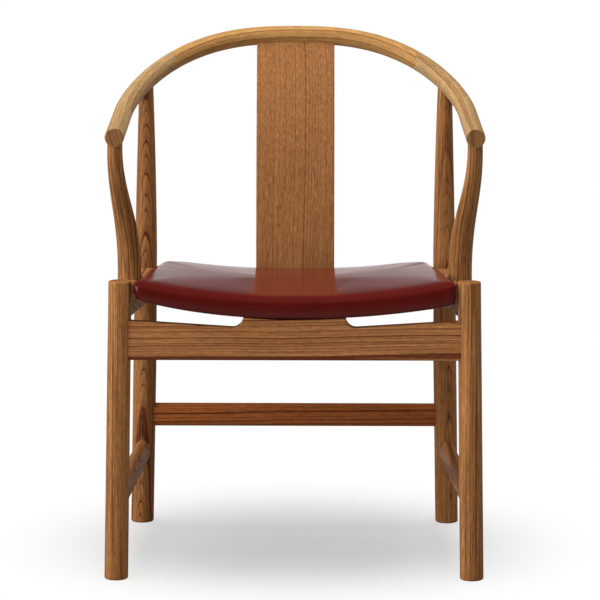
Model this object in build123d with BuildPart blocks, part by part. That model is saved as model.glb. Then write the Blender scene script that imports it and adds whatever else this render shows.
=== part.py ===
"""Horseshoe back armchair: a bent and tapered hardwood frame with a leather saddle seat.

Millimetres. +Z is up and the feet stand on Z = 0. X = 0 is the middle plane, +Y points to
the back, and the origin lies on the floor midway between the front of the front feet and
the back of the top rail. "Right" pieces lie on +X, and their left twins are mirrored.
"""

from build123d import *
import os
from math import asin, cos, degrees, radians, sin

os.makedirs("parts", exist_ok=True)

# ---------------------------------------------------------------- driving dimensions
# Horseshoe top rail: round rod, straight arms, superellipse back, rising to the crown
overall_height = 810.0
rail_diameter = 29.4
arm_half_span = 272.2  # middle plane to the centre line of an arm
arm_tip_y = -225.0
arm_tip_height = 672.5  # centre line at the tip
arm_slope = 0.06  # rise per length of the straight arm
arm_bend_y = -9.4  # where the straight arm starts to bend
crown_y = 257.7  # centre line at the middle of the back
plan_squareness = 2.57  # superellipse exponent of the bend seen from above
rise_exponent = 1.6  # how late the bend climbs to the crown
arm_tip_rounding = 1.6
splice_angle = 47.0  # place of the spliced joints on the bend, 0 at the arm, 90 at the crown
splice_depth = 15.0  # length of the tongue on each end of the crest rail
splice_tip_rounding = 6.0

# Front legs: straight, round, leaning in towards the top
front_leg_x = 271.5  # middle plane to the axis at the floor
front_leg_y = -254.3
front_leg_height = 459.2
front_leg_lean = 8.4  # how far the axis comes in from the floor to the leg's top
front_leg_foot_diameter = 36.2
front_leg_top_diameter = 35.1
foot_rounding = 3.0
leg_top_rounding = 2.4

# Rear legs: one turned piece each from the floor to the top rail
rear_leg_x = 251.3
rear_leg_y = 149.3
rear_leg_belly_x = 246.0
rear_leg_belly_height = 265.0
rear_leg_shoulder_x = 243.2
rear_leg_shoulder_height = 450.0
rear_leg_neck_x = 242.0
rear_leg_neck_height = 615.0
rear_leg_foot_diameter = 37.2
rear_leg_belly_diameter = 37.8
rear_leg_shoulder_diameter = 35.9
rear_leg_neck_diameter = 29.2
rear_leg_top_diameter = 22.6

# Arm posts: S-curved, thick on the side rail and slim under the arm
arm_post_y = -120.0
arm_post_setback = 30.0  # arm tip back to the post's axis
arm_post_foot_diameter = 36.0
arm_post_knee_diameter = 35.6
arm_post_middle_diameter = 30.8
arm_post_neck_diameter = 24.6
arm_post_top_diameter = 23.0

# Seat rails
front_rail_thickness = 22.0
front_rail_bottom = 339.6
front_rail_end_top = 399.8  # top edge beside the legs
front_rail_notch_top = 388.2  # top edge at the low end, beside the hump
hump_half_width = 77.5
hump_side_lean = 4.5
notch_radius = 16.0
front_rail_rounding = 2.0
side_rail_thickness = 28.0
side_rail_depth = 50.0
side_rail_front_height = 426.5  # middle of the rail at the front leg's axis
side_rail_rear_height = 397.7
rear_rail_thickness = 23.0
rear_rail_bottom = 366.5
rear_rail_top = 403.0
rail_edge_rounding = 3.0

# Stretchers
side_stretcher_height = 121.0
side_stretcher_width = 24.0
side_stretcher_depth = 35.0
rear_stretcher_height = 179.0
rear_stretcher_width = 21.0
rear_stretcher_depth = 38.0

# Back splat
splat_width = 127.5
splat_thickness = 10.0
splat_edge_rounding = 2.0
splat_shoulder = 5.0  # each side of its tenons
splat_tenon_thickness = 7.0
splat_tenon_depth = 16.0
splat_top_lean = 27.0  # degrees from upright where it meets the crest rail

# Seat: moulded shell, foam pad, leather cover; heights are of the cover's outer faces
seat_front_y = -270.0
seat_rear_y = 137.0
seat_front_half_width = 243.8
seat_rear_half_width = 214.0
seat_side_bow = 1.9  # how far the seat's sides bow out halfway back
seat_front_bottom = 402.3
seat_rear_bottom = 397.2
seat_front_thickness = 35.1
seat_rear_thickness = 27.7
seat_dish = 4.0  # how far the shell is hollowed halfway back
seat_crown = 2.5  # how far the foam swells over the straight line from front to back
seat_front_bottom_radius = 930.0  # across the width
seat_front_top_radius = 1200.0
seat_rear_bottom_radius = 1720.0
seat_rear_top_radius = 1600.0
seat_rear_corner = 42.0
seat_front_corner = 12.0
seat_edge_rounding = 8.0
seat_bottom_rounding = 6.0
leather_thickness = 1.8
leather_turn_under = 50.0
shell_thickness = 9.0
shell_inset = 6.5  # seat outline to the shell's edge, which the foam wraps
lining_thickness = 1.0
seat_margin = 8.0  # how far the lofted saddle runs on past the seat's outline
lining_margin = 54.0  # seat outline to the lining's edge

# Cleats and screws that hold the seat down
front_cleat_length = 140.0
rear_cleat_length = 300.0
cleat_width = 22.0
cleat_height = 24.0
screw_diameter = 4.0
screw_head_diameter = 8.0
screw_head_depth = 2.4
screw_bite_left = 1.5  # shell left over a seat screw's tip
cleat_screw_length = 34.0
front_seat_screw_x = 52.0
rear_seat_screw_x = 120.0
rear_seat_screw_setback = 8.0  # from the cleat's open side
front_cleat_screw_x = 26.0
rear_cleat_screw_x = 90.0

# Joints and clearances
tenon_thickness = 10.0
tenon_shoulder = 6.0  # above and below a rail's tenon
tenon_wall = 9.0  # wood left behind a blind mortise
round_tenon_diameter = 16.0
post_tenon_diameter = 14.0
post_tenon_length = 22.0
rail_tenon_rise = 6.0  # how far post tenons rise past the top rail's centre line
mortise_gap = 1.0  # empty depth past a tenon's end
soft_gap = 0.3  # around leather, foam and cloth

# ---------------------------------------------------------------- derived places
rail_radius = rail_diameter / 2
crown_height = overall_height - rail_radius
straight_end_height = arm_tip_height + arm_slope * (crown_y - arm_tip_y)


def arm_line_height(y):
    """Height of the straight arm's centre line, carried on to any y."""
    return arm_tip_height + arm_slope * (y - arm_tip_y)


def bend_point(angle):
    """Centre line of the right bend: 0 where the straight arm ends, 90 at the crown."""
    across = cos(radians(angle)) ** (2 / plan_squareness)
    back = sin(radians(angle)) ** (2 / plan_squareness)
    y = arm_bend_y + (crown_y - arm_bend_y) * back
    climb = (crown_height - straight_end_height) * sin(radians(angle)) ** rise_exponent
    return Vector(arm_half_span * across, y, arm_line_height(y) + climb)


def front_leg_point(height):
    """Axis of the right front leg."""
    return Vector(front_leg_x - front_leg_lean * height / front_leg_height, front_leg_y, height)


def rear_leg_point(height):
    """Axis of the right rear leg below its shoulder."""
    if height < rear_leg_belly_height:
        share = height / rear_leg_belly_height
        return Vector(rear_leg_x + share * (rear_leg_belly_x - rear_leg_x), rear_leg_y, height)
    share = (height - rear_leg_belly_height) / (rear_leg_shoulder_height - rear_leg_belly_height)
    x = rear_leg_belly_x + share * (rear_leg_shoulder_x - rear_leg_belly_x)
    return Vector(x, rear_leg_y, height)


def disc(point, diameter):
    """Level round section for lofting a leg or a post."""
    with BuildSketch(Plane.XY.offset(point.Z)) as section:
        with Locations((point.X, point.Y)):
            Circle(diameter / 2)
    return section.sketch


def bar_plane(start, end):
    """Plane at a bar's start, looking along it, with its X level."""
    along = end - start
    return Plane(origin=start, x_dir=Vector(along.Y, -along.X, 0), z_dir=along)


def seat_section(place, lift, height, top_drop):
    """Cross-section of one seat layer; place runs from 0 at the front to 1 at the back.

    lift is the layer's height over the cover's underside. A height of None carries the
    layer up to top_drop below the cover's top.
    """
    y = seat_front_y + place * (seat_rear_y - seat_front_y) + seat_margin * (2 * place - 1)
    half_width = seat_front_half_width + place * (seat_rear_half_width - seat_front_half_width)
    half_width += seat_margin
    hollow = seat_dish * 4 * place * (1 - place)
    bottom = seat_front_bottom + place * (seat_rear_bottom - seat_front_bottom) - hollow
    thickness = seat_front_thickness + place * (seat_rear_thickness - seat_front_thickness)
    thickness += (seat_dish + seat_crown) * 4 * place * (1 - place)
    bottom_curve = (1 - place) / seat_front_bottom_radius + place / seat_rear_bottom_radius
    top_curve = (1 - place) / seat_front_top_radius + place / seat_rear_top_radius
    low_middle = bottom + lift
    low_side = low_middle + bottom_curve * half_width ** 2 / 2
    if height is None:
        high_middle = bottom + thickness - top_drop
        high_side = high_middle + top_curve * half_width ** 2 / 2
    else:
        high_middle = low_middle + height
        high_side = low_side + height
    with BuildSketch(Plane.XZ.offset(-y)) as section:
        with BuildLine():
            under = ThreePointArc((-half_width, low_side), (0, low_middle), (half_width, low_side))
            over = ThreePointArc((half_width, high_side), (0, high_middle), (-half_width, high_side))
            Line(under @ 1, over @ 0)
            Line(over @ 1, under @ 0)
        make_face()
    return section.sketch


def seat_layer(inset, lift, height=None, top_drop=0.0):
    """Saddle-shaped layer of the seat, inset from the seat's outline seen from above."""
    front_half, rear_half = seat_front_half_width - inset, seat_rear_half_width - inset
    front, back = seat_front_y + inset, seat_rear_y - inset
    middle, middle_half = (front + back) / 2, (front_half + rear_half) / 2 + seat_side_bow
    with BuildPart() as layer:
        loft([seat_section(place, lift, height, top_drop) for place in seat_places])
        with BuildSketch() as outline:
            with BuildLine():
                Line((-front_half, front), (front_half, front))
                ThreePointArc((front_half, front), (middle_half, middle), (rear_half, back))
                Line((rear_half, back), (-rear_half, back))
                ThreePointArc((-rear_half, back), (-middle_half, middle), (-front_half, front))
            make_face()
            if inset < seat_rear_corner:
                rear_corners = outline.vertices().sort_by(Axis.Y)[2:]
                fillet(rear_corners, seat_rear_corner - inset)
            if inset < seat_front_corner:
                front_corners = outline.vertices().sort_by(Axis.Y)[:2]
                fillet(front_corners, seat_front_corner - inset)
        extrude(amount=overall_height, mode=Mode.INTERSECT)
    return layer.part


def top_rim(layer):
    """Edges around the upper of a seat layer's two large faces."""
    return layer.faces().sort_by(SortBy.AREA)[-2:].sort_by(Axis.Z)[-1].edges()


def bottom_rim(layer):
    """Edges around the lower of a seat layer's two large faces."""
    return layer.faces().sort_by(SortBy.AREA)[-2:].sort_by(Axis.Z)[0].edges()


seat_places = (0.0, 0.33, 0.67, 1.0)

# ---------------------------------------------------------------- blanks that scribe the joints
# The bent rod before it is cut at the splices: its right half, then both halves
bend_angles = [0, 8, 16, 26, 36, 47, 58, 69, 80]
arm_middle_y = (arm_tip_y + arm_bend_y) / 2
rod_points = [
    Vector(arm_half_span, arm_tip_y, arm_tip_height),
    Vector(arm_half_span, arm_middle_y, arm_line_height(arm_middle_y)),
]
rod_points += [bend_point(angle) for angle in bend_angles]
rod_points += [Vector(0, crown_y, crown_height)]

with BuildPart() as half_rod:
    with BuildLine():
        rod_line = Spline(*rod_points, tangents=[(0, 1, arm_slope), (-1, 0, 0)])
    with BuildSketch(Plane(origin=rod_line @ 0, z_dir=rod_line % 0)):
        Circle(rail_radius)
    sweep(path=rod_line)

with BuildPart() as rod_blank:
    add(half_rod.part)
    mirror(half_rod.part, about=Plane.YZ)

with BuildPart() as front_leg_blank:
    loft([
        disc(front_leg_point(0), front_leg_foot_diameter),
        disc(front_leg_point(front_leg_height), front_leg_top_diameter),
    ])
    fillet(front_leg_blank.edges().sort_by(Axis.Z)[0], foot_rounding)
    fillet(front_leg_blank.edges().sort_by(Axis.Z)[-1], leg_top_rounding)

# The rear leg's top lies on the rod's centre line, where the bend passes over the leg
rear_joint_share = (rear_leg_y - arm_bend_y) / (crown_y - arm_bend_y)
rear_joint = bend_point(degrees(asin(rear_joint_share ** (plan_squareness / 2))))
rear_leg_shoulder = rear_leg_point(rear_leg_shoulder_height)

with BuildPart() as rear_leg_blank:
    loft([
        disc(rear_leg_point(0), rear_leg_foot_diameter),
        disc(rear_leg_point(rear_leg_belly_height), rear_leg_belly_diameter),
        disc(rear_leg_shoulder, rear_leg_shoulder_diameter),
    ], ruled=True)
    loft([
        disc(rear_leg_shoulder, rear_leg_shoulder_diameter),
        disc(Vector(rear_leg_neck_x, rear_leg_y, rear_leg_neck_height), rear_leg_neck_diameter),
        disc(rear_joint, rear_leg_top_diameter),
    ])
    fillet(rear_leg_blank.edges().sort_by(Axis.Z)[0], foot_rounding)

# Side rails slope down to the back; their planes look from the front leg to the rear leg
side_rail_front = front_leg_point(side_rail_front_height)
side_rail_rear = rear_leg_point(side_rail_rear_height)
side_rail_plane = bar_plane(side_rail_front, side_rail_rear)
side_rail_length = (side_rail_rear - side_rail_front).length
side_rail_up = -side_rail_plane.y_dir
side_rail_top = Plane(
    origin=side_rail_front + side_rail_up * side_rail_depth / 2,
    x_dir=side_rail_plane.x_dir,
    z_dir=side_rail_up,
)

# Arm post: stands on the side rail's centre line and runs forward and outward to the arm
foot_share = (arm_post_y - front_leg_y) / (rear_leg_y - front_leg_y)
arm_post_foot = side_rail_front + (side_rail_rear - side_rail_front) * foot_share
arm_post_foot += side_rail_up * side_rail_depth / 2
arm_post_top_y = arm_tip_y + arm_post_setback
arm_post_top = Vector(arm_half_span, arm_post_top_y, arm_line_height(arm_post_top_y))


def arm_post_disc(share, sway, diameter):
    """Section at a share of the post's height, swayed by a share of its whole offset."""
    foot, top = arm_post_foot, arm_post_top
    x = foot.X + sway * (top.X - foot.X)
    y = foot.Y + sway * (top.Y - foot.Y)
    return disc(Vector(x, y, foot.Z + share * (top.Z - foot.Z)), diameter)


with BuildPart() as arm_post_blank:
    loft([
        arm_post_disc(-0.06, 0.0, arm_post_foot_diameter),
        arm_post_disc(0.22, 0.02, arm_post_knee_diameter),
        arm_post_disc(0.49, 0.47, arm_post_middle_diameter),
        arm_post_disc(0.77, 0.98, arm_post_neck_diameter),
        arm_post_disc(1.0, 1.0, arm_post_top_diameter),
    ])

# Rooms for tenons: each bar's tenons run on to the far side of their mortises, with the
# mortise gap at each end, and the same solid is cut out of every leg it reaches
front_reach = front_leg_top_diameter / 2 - tenon_wall
rear_stop = tenon_thickness / 2 + mortise_gap + 0.5
side_tenon_height = side_rail_depth - 2 * tenon_shoulder
side_tenon_length = front_reach + side_rail_length - rear_stop
front_tenon_low = front_rail_bottom + tenon_shoulder
front_tenon_high = front_rail_notch_top - tenon_shoulder
rear_tenon_low = rear_rail_bottom + tenon_shoulder
rear_tenon_high = rear_rail_top - tenon_shoulder
front_tenon_end = front_leg_point(front_tenon_low).X + front_reach
rear_reach = rear_leg_belly_diameter / 2 - tenon_wall
rear_tenon_end = rear_leg_point(rear_tenon_low).X + rear_reach

side_stretcher_front = front_leg_point(side_stretcher_height)
side_stretcher_rear = rear_leg_point(side_stretcher_height)
side_stretcher_plane = bar_plane(side_stretcher_front, side_stretcher_rear)
side_stretcher_length = (side_stretcher_rear - side_stretcher_front).length
stretcher_reach = rear_leg_foot_diameter / 2 - tenon_wall
rear_stretcher_end = rear_leg_point(rear_stretcher_height).X + stretcher_reach


def side_tenon(gap):
    """Side rail tenon from end to end, lengthened by a gap at each end."""
    with BuildPart() as tenon:
        with BuildSketch(side_rail_plane.offset(-front_reach - gap)):
            Rectangle(tenon_thickness, side_tenon_height)
        extrude(amount=side_tenon_length + 2 * gap)
    return tenon.part


def cross_tenon(y, low, high, end):
    """Flat tenon of a rail that crosses from side to side."""
    with BuildPart() as tenon:
        with BuildSketch(Plane.XZ.offset(-y)):
            with Locations((0, (low + high) / 2)):
                Rectangle(2 * end, high - low)
        extrude(amount=tenon_thickness / 2, both=True)
    return tenon.part


def side_stretcher_tenon(gap):
    """Round tenon of a side stretcher from end to end."""
    with BuildPart() as tenon:
        with BuildSketch(side_stretcher_plane.offset(-stretcher_reach - gap)):
            Circle(round_tenon_diameter / 2)
        extrude(amount=side_stretcher_length + 2 * (stretcher_reach + gap))
    return tenon.part


def rear_stretcher_tenon(gap):
    """Round tenon of the rear stretcher from end to end."""
    with BuildPart() as tenon:
        with BuildSketch(Plane.YZ):
            with Locations((rear_leg_y, rear_stretcher_height)):
                Circle(round_tenon_diameter / 2)
        extrude(amount=rear_stretcher_end + gap, both=True)
    return tenon.part


def post_tenon(middle, low, high):
    """Upright round tenon between two heights."""
    with BuildPart() as tenon:
        with BuildSketch(Plane.XY.offset(low)):
            with Locations((middle.X, middle.Y)):
                Circle(post_tenon_diameter / 2)
        extrude(amount=high - low)
    return tenon.part


def splat_slab(thickness, width, low, high):
    """Bent slab on the splat's centre line, which leans back more as it rises."""
    lean = radians(splat_top_lean)
    with BuildPart() as slab:
        with BuildSketch(Plane.YZ):
            with BuildLine():
                Spline(
                    (rear_leg_y, rear_rail_bottom),
                    (crown_y, crown_height),
                    tangents=[(0, 1), (sin(lean), cos(lean))],
                )
            trace(line_width=thickness)
        extrude(amount=width / 2, both=True)
        split(bisect_by=Plane.XY.offset(low), keep=Keep.TOP)
        split(bisect_by=Plane.XY.offset(high), keep=Keep.BOTTOM)
    return slab.part


# Bed of the seat: what it rests on is cut to the curve of its underside
with BuildPart() as seat_bed:
    add(seat_layer(-seat_margin / 2, -soft_gap, 3 * seat_front_thickness))

# ---------------------------------------------------------------- top rail
rear_post_tenon_top = rear_joint.Z + rail_tenon_rise
rear_post_tenon_low = rear_joint.Z - rail_diameter
arm_post_tenon_top = arm_post_top.Z + rail_tenon_rise
arm_post_tenon_low = arm_post_top.Z - rail_diameter
splat_top = crown_height - 2
splat_low = rear_rail_top - splat_tenon_depth
splat_tenon_width = splat_width - 2 * splat_shoulder

# The splice: a tongue with a rounded tip on each end of the crest rail, seen from the front.
# The room beyond it is a wedge that opens along the rod, past the middle plane.
splice_along = (bend_point(splice_angle + 1) - bend_point(splice_angle - 1)).normalized()
splice_out = Vector(splice_along.Y, -splice_along.X, 0).normalized()
splice_tip = bend_point(splice_angle) - splice_along * splice_depth / 2
wedge_length = arm_half_span
wedge_rise = wedge_length * rail_radius / splice_depth

with BuildPart() as crest_room:
    with BuildSketch(Plane(origin=splice_tip, x_dir=splice_along, z_dir=splice_out)) as wedge:
        with BuildLine():
            Polyline((0, 0), (wedge_length, wedge_rise), (wedge_length, -wedge_rise), close=True)
        make_face()
        tip = wedge.vertices().sort_by_distance(splice_tip)[0]
        fillet(tip, splice_tip_rounding)
    extrude(amount=arm_half_span / 2, both=True)

with BuildPart() as half_crest:
    add(half_rod.part)
    add(crest_room.part, mode=Mode.INTERSECT)

with BuildPart() as crest_rail:
    add(half_crest.part)
    mirror(half_crest.part, about=Plane.YZ)
    add(splat_slab(splat_tenon_thickness, splat_tenon_width, splat_low, splat_top + mortise_gap),
        mode=Mode.SUBTRACT)

with BuildPart() as arm_rail_right:
    add(half_rod.part)
    add(crest_room.part, mode=Mode.SUBTRACT)
    add(post_tenon(rear_joint, rear_post_tenon_low, rear_post_tenon_top + mortise_gap),
        mode=Mode.SUBTRACT)
    add(post_tenon(arm_post_top, arm_post_tenon_low, arm_post_tenon_top + mortise_gap),
        mode=Mode.SUBTRACT)
    fillet(arm_rail_right.edges().sort_by(Axis.Y)[0], arm_tip_rounding)

# ---------------------------------------------------------------- legs and posts
with BuildPart() as front_leg_right:
    add(front_leg_blank.part)
    add(side_tenon(mortise_gap), mode=Mode.SUBTRACT)
    add(cross_tenon(front_leg_y, front_tenon_low, front_tenon_high, front_tenon_end + mortise_gap),
        mode=Mode.SUBTRACT)
    add(side_stretcher_tenon(mortise_gap), mode=Mode.SUBTRACT)

with BuildPart() as rear_leg_right:
    add(rear_leg_blank.part)
    add(rod_blank.part, mode=Mode.SUBTRACT)
    add(post_tenon(rear_joint, rear_post_tenon_low, rear_post_tenon_top))
    add(side_tenon(mortise_gap), mode=Mode.SUBTRACT)
    add(cross_tenon(rear_leg_y, rear_tenon_low, rear_tenon_high, rear_tenon_end + mortise_gap),
        mode=Mode.SUBTRACT)
    add(side_stretcher_tenon(mortise_gap), mode=Mode.SUBTRACT)
    add(rear_stretcher_tenon(mortise_gap), mode=Mode.SUBTRACT)

with BuildPart() as arm_post_right:
    add(arm_post_blank.part)
    split(bisect_by=side_rail_top, keep=Keep.TOP)
    add(rod_blank.part, mode=Mode.SUBTRACT)
    add(post_tenon(arm_post_top, arm_post_tenon_low, arm_post_tenon_top))
    add(post_tenon(arm_post_foot, arm_post_foot.Z - post_tenon_length, arm_post_foot.Z + 10))

# ---------------------------------------------------------------- screws of the seat and its cleats
front_cleat_face = front_leg_y + front_rail_thickness / 2
rear_cleat_face = rear_leg_y - rear_rail_thickness / 2
front_cleat_y = front_cleat_face + cleat_width / 2
rear_cleat_y = rear_cleat_face - cleat_width / 2
rear_seat_screw_y = rear_cleat_face - cleat_width + rear_seat_screw_setback
front_cleat_bottom = seat_front_bottom - cleat_height
rear_cleat_bottom = seat_rear_bottom - cleat_height


def underside(x, y):
    """Height of the cover's underside."""
    place = (y - seat_front_y) / (seat_rear_y - seat_front_y)
    hollow = seat_dish * 4 * place * (1 - place)
    curve = (1 - place) / seat_front_bottom_radius + place / seat_rear_bottom_radius
    middle = seat_front_bottom + place * (seat_rear_bottom - seat_front_bottom) - hollow
    return middle + curve * x ** 2 / 2


def seat_screw_tip(x, y):
    """Height of a seat screw's tip inside the shell."""
    return underside(x, y) + leather_thickness + soft_gap + shell_thickness - screw_bite_left


seat_screw_places = [
    (x, y, low, seat_screw_tip(x, y))
    for spread, y, low in (
        (front_seat_screw_x, front_cleat_y, front_cleat_bottom),
        (rear_seat_screw_x, rear_seat_screw_y, rear_cleat_bottom),
    )
    for x in (-spread, spread)
]


def screw(plane, length):
    """Countersunk screw with its head in the plane, pointing along the plane's normal."""
    with BuildPart() as body:
        with BuildSketch(plane):
            Circle(screw_diameter / 2)
        extrude(amount=length)
        with BuildSketch(plane):
            Circle(screw_head_diameter / 2)
        with BuildSketch(plane.offset(screw_head_depth)):
            Circle(screw_diameter / 2)
        loft()
    return body.part


front_cleat_screw_planes = [
    Plane(
        origin=(x, front_cleat_face + cleat_width, front_cleat_bottom + cleat_height / 2),
        x_dir=(1, 0, 0),
        z_dir=(0, -1, 0),
    )
    for x in (-front_cleat_screw_x, front_cleat_screw_x)
]
rear_cleat_screw_planes = [
    Plane(
        origin=(x, rear_cleat_face - cleat_width, rear_cleat_bottom + cleat_height / 2),
        x_dir=(1, 0, 0),
        z_dir=(0, 1, 0),
    )
    for x in (-rear_cleat_screw_x, rear_cleat_screw_x)
]

with BuildPart() as seat_screws:
    for x, y, low, tip in seat_screw_places:
        add(screw(Plane(origin=(x, y, low), z_dir=(0, 0, 1)), tip - low))

with BuildPart() as cleat_screws:
    for plane in front_cleat_screw_planes + rear_cleat_screw_planes:
        add(screw(plane, cleat_screw_length))

# ---------------------------------------------------------------- rails and stretchers
with BuildPart() as side_seat_rail_right:
    with BuildSketch(side_rail_plane):
        RectangleRounded(side_rail_thickness, side_rail_depth, rail_edge_rounding)
    extrude(amount=side_rail_length)
    add(front_leg_blank.part, mode=Mode.SUBTRACT)
    add(rear_leg_blank.part, mode=Mode.SUBTRACT)
    add(side_tenon(0))
    foot_socket = arm_post_foot.Z - post_tenon_length - mortise_gap
    add(post_tenon(arm_post_foot, foot_socket, arm_post_foot.Z + 10), mode=Mode.SUBTRACT)

with BuildPart() as front_seat_rail:
    with BuildSketch(Plane.XZ.offset(-front_leg_y)) as front_profile:
        with BuildLine():
            hump_top = seat_front_bottom + seat_front_thickness
            notch_x = hump_half_width + hump_side_lean
            end_x = front_leg_point(front_rail_bottom).X
            right_edge = [
                (0, front_rail_bottom),
                (end_x, front_rail_bottom),
                (end_x, front_rail_end_top),
                (notch_x, front_rail_notch_top),
                (hump_half_width, seat_front_bottom),
                (hump_half_width, hump_top),
                (0, hump_top),
            ]
            Polyline(right_edge)
            mirror(about=Plane.YZ)
        make_face()
        notches = [v for v in front_profile.vertices() if abs(abs(v.X) - notch_x) < 0.1]
        fillet(notches, notch_radius)
    extrude(amount=front_rail_thickness / 2, both=True)
    fillet(front_seat_rail.faces().sort_by(Axis.Y)[0].edges(), front_rail_rounding)
    fillet(front_seat_rail.faces().sort_by(Axis.Y)[-1].edges(), front_rail_rounding)
    add(seat_bed.part, mode=Mode.SUBTRACT)
    add(front_leg_blank.part, mode=Mode.SUBTRACT)
    mirror(front_leg_blank.part, about=Plane.YZ, mode=Mode.SUBTRACT)
    add(cross_tenon(front_leg_y, front_tenon_low, front_tenon_high, front_tenon_end))
    add(cleat_screws.part, mode=Mode.SUBTRACT)

with BuildPart() as rear_seat_rail:
    with BuildSketch(Plane.YZ):
        with Locations((rear_leg_y, (rear_rail_bottom + rear_rail_top) / 2)):
            RectangleRounded(rear_rail_thickness, rear_rail_top - rear_rail_bottom,
                             rail_edge_rounding)
    extrude(amount=rear_leg_point(rear_rail_bottom).X, both=True)
    add(rear_leg_blank.part, mode=Mode.SUBTRACT)
    mirror(rear_leg_blank.part, about=Plane.YZ, mode=Mode.SUBTRACT)
    add(cross_tenon(rear_leg_y, rear_tenon_low, rear_tenon_high, rear_tenon_end))
    add(splat_slab(splat_tenon_thickness, splat_tenon_width, splat_low - mortise_gap, splat_top),
        mode=Mode.SUBTRACT)
    add(cleat_screws.part, mode=Mode.SUBTRACT)

with BuildPart() as side_stretcher_right:
    with BuildSketch(side_stretcher_plane):
        SlotOverall(side_stretcher_depth, side_stretcher_width, rotation=90)
    extrude(amount=side_stretcher_length)
    add(front_leg_blank.part, mode=Mode.SUBTRACT)
    add(rear_leg_blank.part, mode=Mode.SUBTRACT)
    add(side_stretcher_tenon(0))

with BuildPart() as rear_stretcher:
    with BuildSketch(Plane.YZ):
        with Locations((rear_leg_y, rear_stretcher_height)):
            SlotOverall(rear_stretcher_depth, rear_stretcher_width, rotation=90)
    extrude(amount=rear_leg_point(rear_stretcher_height).X, both=True)
    add(rear_leg_blank.part, mode=Mode.SUBTRACT)
    mirror(rear_leg_blank.part, about=Plane.YZ, mode=Mode.SUBTRACT)
    add(rear_stretcher_tenon(0))

# ---------------------------------------------------------------- back splat
with BuildPart() as back_splat:
    add(splat_slab(splat_thickness, splat_width, splat_low, splat_top))
    split(bisect_by=Plane.XY.offset(rear_rail_top), keep=Keep.TOP)
    long_edges = back_splat.faces().sort_by(Axis.X)[0].edges().sort_by(Edge.length)[-2:]
    long_edges += back_splat.faces().sort_by(Axis.X)[-1].edges().sort_by(Edge.length)[-2:]
    fillet(long_edges, splat_edge_rounding)
    add(rod_blank.part, mode=Mode.SUBTRACT)
    add(splat_slab(splat_tenon_thickness, splat_tenon_width, splat_low, splat_top))

# ---------------------------------------------------------------- seat cleats
with BuildPart() as front_seat_cleat:
    with BuildSketch(Plane.XY.offset(front_cleat_bottom)):
        with Locations((0, front_cleat_y)):
            Rectangle(front_cleat_length, cleat_width)
    extrude(amount=2 * cleat_height)
    add(seat_bed.part, mode=Mode.SUBTRACT)
    add(seat_screws.part, mode=Mode.SUBTRACT)
    add(cleat_screws.part, mode=Mode.SUBTRACT)

with BuildPart() as rear_seat_cleat:
    with BuildSketch(Plane.XY.offset(rear_cleat_bottom)):
        with Locations((0, rear_cleat_y)):
            Rectangle(rear_cleat_length, cleat_width)
    extrude(amount=2 * cleat_height)
    add(seat_bed.part, mode=Mode.SUBTRACT)
    add(seat_screws.part, mode=Mode.SUBTRACT)
    add(cleat_screws.part, mode=Mode.SUBTRACT)

# ---------------------------------------------------------------- seat
inner_inset = leather_thickness + soft_gap
shell_lift = leather_thickness + soft_gap
lining_lift = leather_thickness - lining_thickness

with BuildPart() as seat_shell:
    add(seat_layer(shell_inset, shell_lift, shell_thickness))
    add(seat_screws.part, mode=Mode.SUBTRACT)

with BuildPart() as shell_room:
    add(seat_layer(shell_inset - soft_gap, 0, shell_lift + shell_thickness + soft_gap))

with BuildPart() as seat_foam:
    add(seat_layer(inner_inset, shell_lift, top_drop=inner_inset))
    fillet(top_rim(seat_foam.part), seat_edge_rounding - inner_inset)
    fillet(bottom_rim(seat_foam.part), seat_bottom_rounding - inner_inset)
    add(shell_room.part, mode=Mode.SUBTRACT)

with BuildPart() as cover_room:
    add(seat_layer(leather_thickness, leather_thickness, top_drop=leather_thickness))
    fillet(top_rim(cover_room.part), seat_edge_rounding - leather_thickness)
    fillet(bottom_rim(cover_room.part), seat_bottom_rounding - leather_thickness)

with BuildPart() as seat_cover:
    add(seat_layer(0, 0))
    fillet(top_rim(seat_cover.part), seat_edge_rounding)
    fillet(bottom_rim(seat_cover.part), seat_bottom_rounding)
    add(cover_room.part, mode=Mode.SUBTRACT)
    add(seat_layer(leather_turn_under, -leather_thickness, 3 * leather_thickness),
        mode=Mode.SUBTRACT)
    add(seat_screws.part, mode=Mode.SUBTRACT)

with BuildPart() as seat_lining:
    add(seat_layer(lining_margin, lining_lift, lining_thickness))

pieces = {
    "crest_rail": crest_rail,
    "back_splat": back_splat,
    "front_seat_rail": front_seat_rail,
    "rear_seat_rail": rear_seat_rail,
    "rear_stretcher": rear_stretcher,
    "front_seat_cleat": front_seat_cleat,
    "rear_seat_cleat": rear_seat_cleat,
    "seat_screws": seat_screws,
    "cleat_screws": cleat_screws,
    "seat_shell": seat_shell,
    "seat_foam": seat_foam,
    "seat_cover": seat_cover,
    "seat_lining": seat_lining,
}
for name, piece in pieces.items():
    piece.part.label = name
    export_step(piece.part, f"parts/{name}.step")

right_pieces = {
    "arm_rail": arm_rail_right,
    "front_leg": front_leg_right,
    "rear_leg": rear_leg_right,
    "arm_post": arm_post_right,
    "side_seat_rail": side_seat_rail_right,
    "side_stretcher": side_stretcher_right,
}
for name, right_piece in right_pieces.items():
    right_piece.part.label = f"{name}_right"
    export_step(right_piece.part, f"parts/{name}_right.step")
    with BuildPart() as left_piece:
        mirror(right_piece.part, about=Plane.YZ)
    left_piece.part.label = f"{name}_left"
    export_step(left_piece.part, f"parts/{name}_left.step")
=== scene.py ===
from bisect import bisect
from math import cos, pi, radians, sin, sqrt, tau

import bpy
from mathutils import Matrix, Vector


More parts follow.
